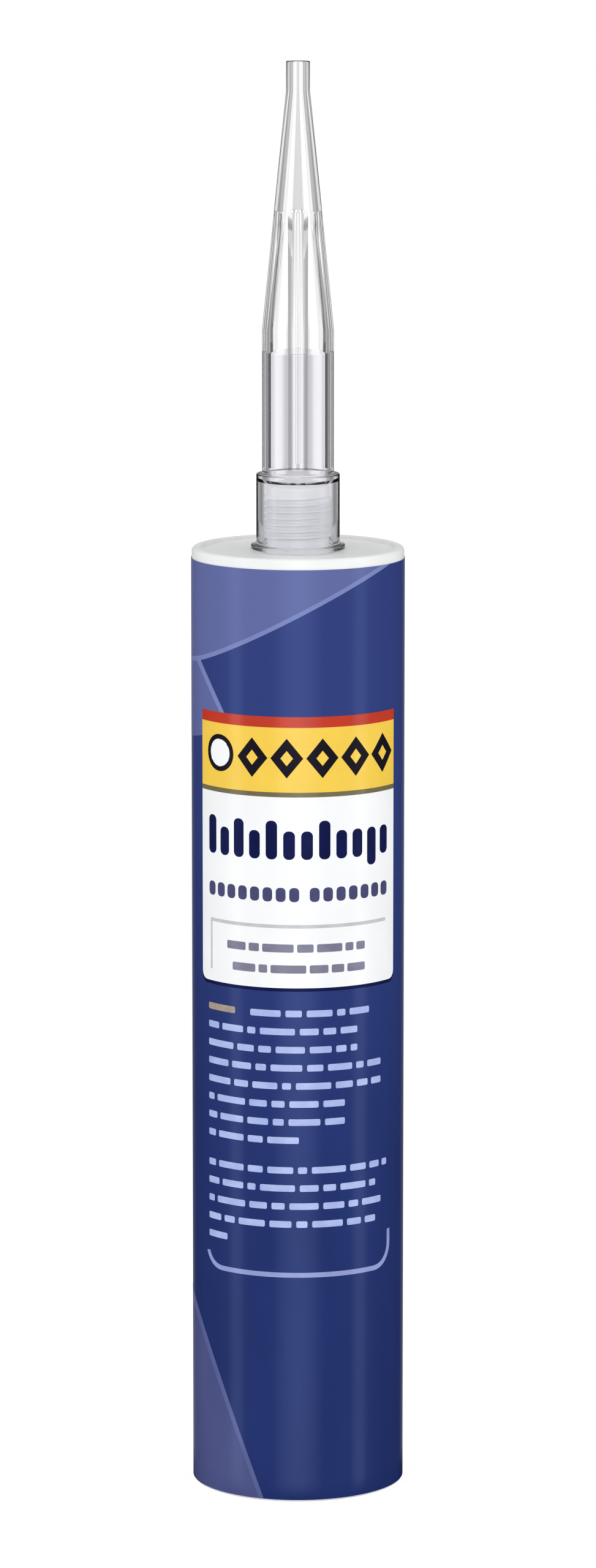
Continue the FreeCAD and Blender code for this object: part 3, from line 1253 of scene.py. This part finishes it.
@dataclass
class Piston:
    """The moulded cup that pushes the paste: two lips, a hub and six ribs under its crown."""

    lip_r: float = 23.35
    waist_r: float = 22.75
    skirt_bore_r: float = 21.55
    low: float = 18.8
    high: float = 38.8
    lip_height: float = 3.0
    waist_slope: float = 0.6
    mouth_rounding: float = 0.3
    crown_rounding: float = 1.3
    crown_low: float = 37.2
    skirt_fillet: float = 1.2
    hub_outer_r: float = 7.0
    hub_inner_r: float = 5.8
    hub_steps: int = 96
    rib_low: float = 34.7
    rib_thickness: float = 1.2
    rib_count: int = 6
    crown_sink: float = 0.8
    skirt_sink: float = 0.6
    edge_rounding: float = 0.25
    edge_segments: int = 3

    def build(self, wardrobe: Wardrobe) -> None:
        """Turns the cup, adds its hub and ribs, unites them and dresses the piston.

        Args:
            wardrobe: the finishes.
        """
        cup = Lathe("piston_cup", self._outline()).build()
        top = self.crown_low + self.crown_sink
        section = [
            (self.hub_inner_r, self.rib_low, self.edge_rounding),
            (self.hub_outer_r, self.rib_low, self.edge_rounding),
            (self.hub_outer_r, top, 0),
            (self.hub_inner_r, top, 0),
        ]
        hub = Lathe("piston_hub", section, True, self.hub_steps, self.edge_segments).build()
        for part in [hub, *self._ribs()]:
            apply_modifier(cup, "BOOLEAN", operation="UNION", solver="EXACT", object=part)
            bpy.data.objects.remove(part)
        smooth(cup)
        wardrobe.dress(cup, PISTON_POLYETHYLENE, Body.PISTON, ("piston",))

    def _outline(self) -> list[Corner]:
        """The cup's outline, from its axis under the crown to its axis on top."""
        return [
            (0, self.crown_low, 0),
            (self.skirt_bore_r, self.crown_low, self.skirt_fillet),
            (self.skirt_bore_r, self.low, 0),
            (self.lip_r, self.low, self.mouth_rounding),
            (self.lip_r, self.low + self.lip_height, 0),
            (self.waist_r, self.low + self.lip_height + self.waist_slope, 0),
            (self.waist_r, self.high - self.lip_height - self.waist_slope, 0),
            (self.lip_r, self.high - self.lip_height, 0),
            (self.lip_r, self.high, self.crown_rounding),
            (0, self.high, 0),
        ]

    def _ribs(self) -> list[Piece]:
        """Shapes one rib with rounded lower edges and copies it round the hub.

        Returns:
            The ribs.
        """
        inner = (self.hub_inner_r + self.hub_outer_r) / 2
        outer = self.skirt_bore_r + self.skirt_sink
        top = self.crown_low + self.crown_sink
        middle = ((inner + outer) / 2 * MM, 0, (self.rib_low + top) / 2 * MM)
        size = ((outer - inner) * MM, self.rib_thickness * MM, (top - self.rib_low) * MM)
        rib = add(bpy.ops.mesh.primitive_cube_add, "piston_rib", size=1, location=middle)
        with editing(rib):
            bpy.ops.transform.resize(value=size, center_override=middle)
            pick(rib, "EDGE", lambda e: all(v.co.z < 0 for v in e.verts) and abs(
                e.verts[0].co.x - e.verts[1].co.x) > MERGE_DISTANCE)
            bpy.ops.mesh.bevel(
                affect="EDGES", offset_type="OFFSET", offset=self.edge_rounding * MM,
                segments=self.edge_segments,
            )
        apply_place(rib)
        ribs = [rib]
        for i in range(1, self.rib_count):
            choose(rib)
            bpy.ops.object.duplicate(linked=False)
            ribs.append(bpy.context.object)
            ribs[i].rotation_euler.z = i * FULL_TURN / self.rib_count
            apply_place(ribs[i])
        return ribs


# The nozzle


@dataclass
class Nozzle:
    """The clear moulding: foot, collar over the neck, straight tube, taper and cut tip."""

    low: float = 220.6
    foot_r: float = 10.9
    foot_top: float = 221.8
    collar_r: float = 9.65
    collar_top: float = 238.2
    collar_bore_r: float = 8.3
    step_low: float = 236.35
    step_high: float = 236.85
    tube_r: float = 8.3
    tube_bore_r: float = 6.95
    bore_step_z: float = 266.3
    upper_bore_r: float = 6.45
    tube_top: float = 271.4
    taper_top: float = 326.1
    tip_r: float = 2.75
    tip_bore_r: float = 1.5
    tip_top: float = 332.9
    rounding: float = 0.3
    flow_rib_width: float = 4.2
    flow_rib_depth: float = 0.5
    flow_rib_narrowing: float = 0.59
    flow_rib_end: float = 1.0
    flow_rib_end_depth: float = 0.06
    flow_rib_low: float = 239.6
    flow_rib_top: float = 298.6
    upright_limit: float = 0.5
    steps: int = 160
    arc_segments: int = 4
    sharp_from: float = 25.0

    def build(self, wardrobe: Wardrobe) -> None:
        """Turns the nozzle's shell, raises its flow ribs and dresses it.

        Args:
            wardrobe: the finishes.
        """
        shell = Lathe("nozzle_moulding", self._outline(), True, self.steps, self.arc_segments)
        nozzle = shell.build()
        self._raise_ribs(nozzle)
        smooth(nozzle, self.sharp_from)
        wardrobe.dress(nozzle, CLEAR_POLYPROPYLENE, Body.NOZZLE, ("nozzle",))

    def _outline(self) -> list[Corner]:
        """The nozzle's closed outline, up its outside and down its bore."""
        turn = self.rounding
        return [
            (self.collar_bore_r, self.low, 0),
            (self.foot_r, self.low, turn),
            (self.foot_r, self.foot_top, turn),
            (self.collar_r, self.foot_top, turn),
            (self.collar_r, self.collar_top, turn),
            (self.tube_r, self.collar_top, turn),
            (self.tube_r, self.tube_top, 0),
            (self.tip_r, self.taper_top, 0),
            (self.tip_r, self.tip_top, turn),
            (self.tip_bore_r, self.tip_top, 0),
            (self.tip_bore_r, self.taper_top, 0),
            (self.upper_bore_r, self.tube_top, 0),
            (self.upper_bore_r, self.bore_step_z, 0),
            (self.tube_bore_r, self.bore_step_z, 0),
            (self.tube_bore_r, self.step_high, 0),
            (self.collar_bore_r, self.step_low, 0),
        ]

    def _raise_ribs(self, nozzle: Piece) -> None:
        """Scores the bore along four bands and raises them into flow ribs that run out upwards.

        Args:
            nozzle: the turned shell.
        """
        with editing(nozzle):
            for z in (self.flow_rib_low, self.flow_rib_top):
                slice_all(Vector((0, 0, z * MM)), Vector((0, 0, 1)))
            for side in (-self.flow_rib_width / 2, self.flow_rib_width / 2):
                slice_all(Vector((side * MM, 0, 0)), Vector((1, 0, 0)))
                slice_all(Vector((0, side * MM, 0)), Vector((0, 1, 0)))
        with editing(nozzle):
            pick(nozzle, "FACE", self._on_rib)
            bpy.ops.mesh.extrude_region_shrink_fatten(
                TRANSFORM_OT_shrink_fatten={"value": self.flow_rib_depth * MM}
            )
            tops = [
                {v.index for face in bmesh.from_edit_mesh(nozzle.data).faces if face.select
                 for v in face.verts if abs(v.co[axis]) < abs(v.co[1 - axis])}
                for axis in (0, 1)
            ]
            narrow = self.flow_rib_narrowing
            for top, squeeze in zip(tops, ((narrow, 1, 1), (1, narrow, 1))):
                pick(nozzle, "VERT", lambda v: v.index in top)
                bpy.ops.transform.resize(value=squeeze, center_override=(0, 0, 0))
            raised = tops[0] | tops[1]
            end_z = (self.flow_rib_top - self.flow_rib_end) * MM
            pick(nozzle, "VERT", lambda v: v.index in raised and v.co.z > end_z)
            taper = (self.upper_bore_r - self.tip_bore_r) / (self.taper_top - self.tube_top)
            wall_r = self.upper_bore_r - (self.flow_rib_top - self.tube_top) * taper
            out = (wall_r - self.flow_rib_end_depth) / (wall_r - self.flow_rib_depth)
            bpy.ops.transform.resize(value=(out, out, 1), center_override=(0, 0, 0))

    def _on_rib(self, face: bmesh.types.BMFace) -> bool:
        """Whether a face of the bore's wall lies in a flow rib.

        Args:
            face: the face.

        Returns:
            True for a face that becomes a rib.
        """
        middle = face.calc_center_median()
        inward = face.normal.xy.dot(middle.xy) < 0
        in_height = self.flow_rib_low * MM < middle.z < self.flow_rib_top * MM
        in_band = min(abs(middle.x), abs(middle.y)) < self.flow_rib_width / 2 * MM
        upright = abs(face.normal.z) < self.upright_limit
        return inward and in_height and in_band and upright


# The studio


@dataclass
class Studio:
    """Camera, floor, lamps and surroundings of the photograph.

    Places, the floor and the lamps are in metres, and the camera's lens and the two shade radii
    are in mm. A lamp has a name, a place and a power. Between the shade radii the floor's tones
    fade out towards the tube, which shades the floor at its foot.
    """

    camera_place: Corner = (0.0, -1.488, 0.411)
    camera_pitch: float = -9.37
    focal_mm: float = 148.82
    film_gate_mm: float = 36.0
    clip_end: float = 20.0
    floor_radius: float = 4.0
    floor_sides: int = 128
    floor_drop: float = 0.00002
    floor_colour: str = "#efefef"
    floor_shade: float = 0.22
    floor_white: float = 1.1
    shade_inner_r: float = 28.0
    shade_outer_r: float = 40.0
    lamps: tuple[tuple[str, Corner, float], ...] = (
        ("key_lamp", (-0.9, -1.3, 0.9), 2.1), ("fill_lamp", (1.1, -1.0, 0.5), 1.5),
    )
    lamp_size: float = 0.9
    lamp_aim: Corner = (0.0, 0.0, 0.15)
    ambient_level: float = 1.28
    overhead_level: float = 0.96
    overhead_from: float = 0.9
    clear_gain: float = 2.5

    # Tones of the cards round the tube, by the angle in degrees from straight behind it (0) to
    # the camera's side (180): first what gloss mirrors, then what is seen through clear plastic.
    gloss_tones: tuple[tuple[float, float], ...] = (
        (0, 0.4), (16, 0.15), (30, 0.02), (78, 0.02), (90, 0.08), (98, 0.14),
        (105, 0.9), (113, 0.9), (120, 0.14), (152, 0.10), (168, 1.0), (180, 1.3),
    )
    clear_tones: tuple[tuple[float, float], ...] = (
        (0, 0.78), (3.2, 0.78), (4.6, 1.3), (9.5, 1.3), (12, 1.0), (19.0, 1.2), (23, 0.55),
        (30, 0.48), (44, 0.35), (52, 0.5), (70, 0.7), (100, 0.8), (180, 0.8),
    )

    def build(self) -> None:
        """Sets up the whole studio."""
        self._camera()
        self._floor()
        self._hang_lamps()
        self._surroundings()
        bpy.context.scene.view_settings.view_transform = "Standard"
        log.info("studio: camera at %s", self.camera_place)

    def _camera(self) -> None:
        """Puts the camera where the photograph was taken from."""
        data = bpy.data.cameras.new("camera")
        data.sensor_fit = "VERTICAL"
        data.sensor_height = self.film_gate_mm
        data.lens = self.focal_mm
        data.clip_end = self.clip_end
        camera = bpy.data.objects.new("camera", data)
        camera.location = self.camera_place
        camera.rotation_euler = (math.radians(90 + self.camera_pitch), 0, 0)
        bpy.context.scene.collection.objects.link(camera)
        bpy.context.scene.camera = camera

    def _floor(self) -> None:
        """Lays the pale floor: nearly white to the camera, the cards' tones to gloss."""
        floor = add(
            bpy.ops.mesh.primitive_circle_add, "floor", vertices=self.floor_sides,
            radius=self.floor_radius, fill_type="NGON", location=(0, 0, -self.floor_drop),
        )
        apply_place(floor)
        material, nodes = new_material("studio_floor_pale")
        back = nodes.add("NewGeometry").outputs["Incoming"]
        seen = self._cards(nodes, nodes.vectors("MULTIPLY", back, (-1, -1, -1)))
        distance = nodes.vectors("LENGTH", nodes.place(), output="Value")
        ring = (self.shade_inner_r * MM, self.shade_outer_r * MM)
        to_gloss = nodes.emission(seen, nodes.ranged(distance, ring))
        matt = nodes.add("BsdfDiffuse", inputs={"Color": linear(self.floor_colour)}).outputs[0]
        white = nodes.emission((1, 1, 1, 1), self.floor_white)
        to_camera = nodes.mixed_shaders(self.floor_shade, white, matt)
        unmirrored = nodes.mixed_shaders(nodes.ray("Is Camera Ray"), matt, to_camera)
        surface = nodes.mixed_shaders(self._mirrored(nodes), unmirrored, to_gloss)
        nodes.add("OutputMaterial", inputs={"Surface": surface})
        floor.data.materials.append(material)

    def _hang_lamps(self) -> None:
        """Hangs two large soft lamps that gloss doesn't show."""
        for name, place, power in self.lamps:
            data = bpy.data.lights.new(name, "AREA")
            data.shape = "DISK"
            data.size = self.lamp_size
            data.energy = power
            lamp = bpy.data.objects.new(name, data)
            lamp.location = place
            aim = Vector(self.lamp_aim) - Vector(place)
            lamp.rotation_euler = aim.to_track_quat("-Z", "Y").to_euler()
            lamp.visible_glossy = False
            lamp.visible_transmission = False
            bpy.context.scene.collection.objects.link(lamp)

    def _surroundings(self) -> None:
        """White to the camera, toned cards to gloss and clear plastic, and even light."""
        world = bpy.data.worlds.new("studio")
        bpy.context.scene.world = world
        world.use_nodes = True
        nodes = Nodes(world.node_tree)
        direction = nodes.add("TexCoord").outputs["Generated"]
        span, levels = (0.0, self.overhead_from), (self.ambient_level, self.overhead_level)
        level = nodes.ranged(nodes.height(direction), span, levels)
        gain = nodes.ranged(nodes.ray("Is Transmission Ray"), target=(1.0, self.clear_gain))
        even = nodes.maths("MULTIPLY", level, gain)
        lit = nodes.mixed(self._mirrored(nodes), even, self._cards(nodes, direction))
        shown = nodes.mixed(nodes.ray("Is Camera Ray"), lit, (1, 1, 1, 1))
        background = nodes.add("Background", inputs={"Color": shown, "Strength": 1.0})
        nodes.add("OutputWorld", inputs={"Surface": background.outputs[0]})

    @staticmethod
    def _mirrored(nodes: Nodes) -> Socket:
        """Whether the eye sees this by gloss or through clear plastic, and not by scattered light.

        Args:
            nodes: the maker of the tree's nodes.

        Returns:
            The socket of the answer, 0 or 1.
        """
        glossy, clear = nodes.ray("Is Glossy Ray"), nodes.ray("Is Transmission Ray")
        either = nodes.maths("MAXIMUM", glossy, clear)
        direct = nodes.maths("LESS_THAN", nodes.ray("Diffuse Depth"), 1.0)
        return nodes.maths("MULTIPLY", either, direct)

    def _cards(self, nodes: Nodes, vector: Socket) -> Socket:
        """The tone of the cards round the tube in a direction.

        Args:
            nodes: the maker of the tree's nodes.
            vector: the direction in which the ray goes.

        Returns:
            The tone's socket.
        """
        level = nodes.vectors("NORMALIZE", nodes.vectors("MULTIPLY", vector, (1, 1, 0)))
        behind = nodes.vectors("DOT_PRODUCT", level, (0, 1, 0), output="Value")
        share = nodes.maths("DIVIDE", nodes.maths("ARCCOSINE", behind), math.pi)
        gloss = self._ramp(nodes, share, self.gloss_tones)
        clear = self._ramp(nodes, share, self.clear_tones)
        return nodes.mixed(nodes.ray("Is Transmission Ray"), gloss, clear)

    @staticmethod
    def _ramp(nodes: Nodes, share: Socket, tones: tuple[tuple[float, float], ...]) -> Socket:
        """A ramp of tones over half a turn.

        Args:
            nodes: the maker of the tree's nodes.
            share: the share of half a turn.
            tones: an angle in degrees and a tone for each stop.

        Returns:
            The tone's socket.
        """
        ramp = nodes.add("ValToRGB", inputs={"Fac": share})
        stops = ramp.color_ramp.elements
        while len(stops) < len(tones):
            stops.new(0.5)
        for stop, (degrees, tone) in zip(stops, tones):
            stop.position = degrees / 180
            stop.color = (tone, tone, tone, 1)
        return ramp.outputs["Color"]


def main() -> None:
    """Builds the tube and its studio, piece by piece."""
    logging.basicConfig(level=logging.INFO, format="%(name)s: %(message)s")
    wardrobe = Wardrobe()
    Studio().build()
    for assembly in (Barrel(), Film(), Label(), Sealant(), Piston(), Nozzle()):
        assembly.build(wardrobe)


if __name__ == "__main__":
    main()
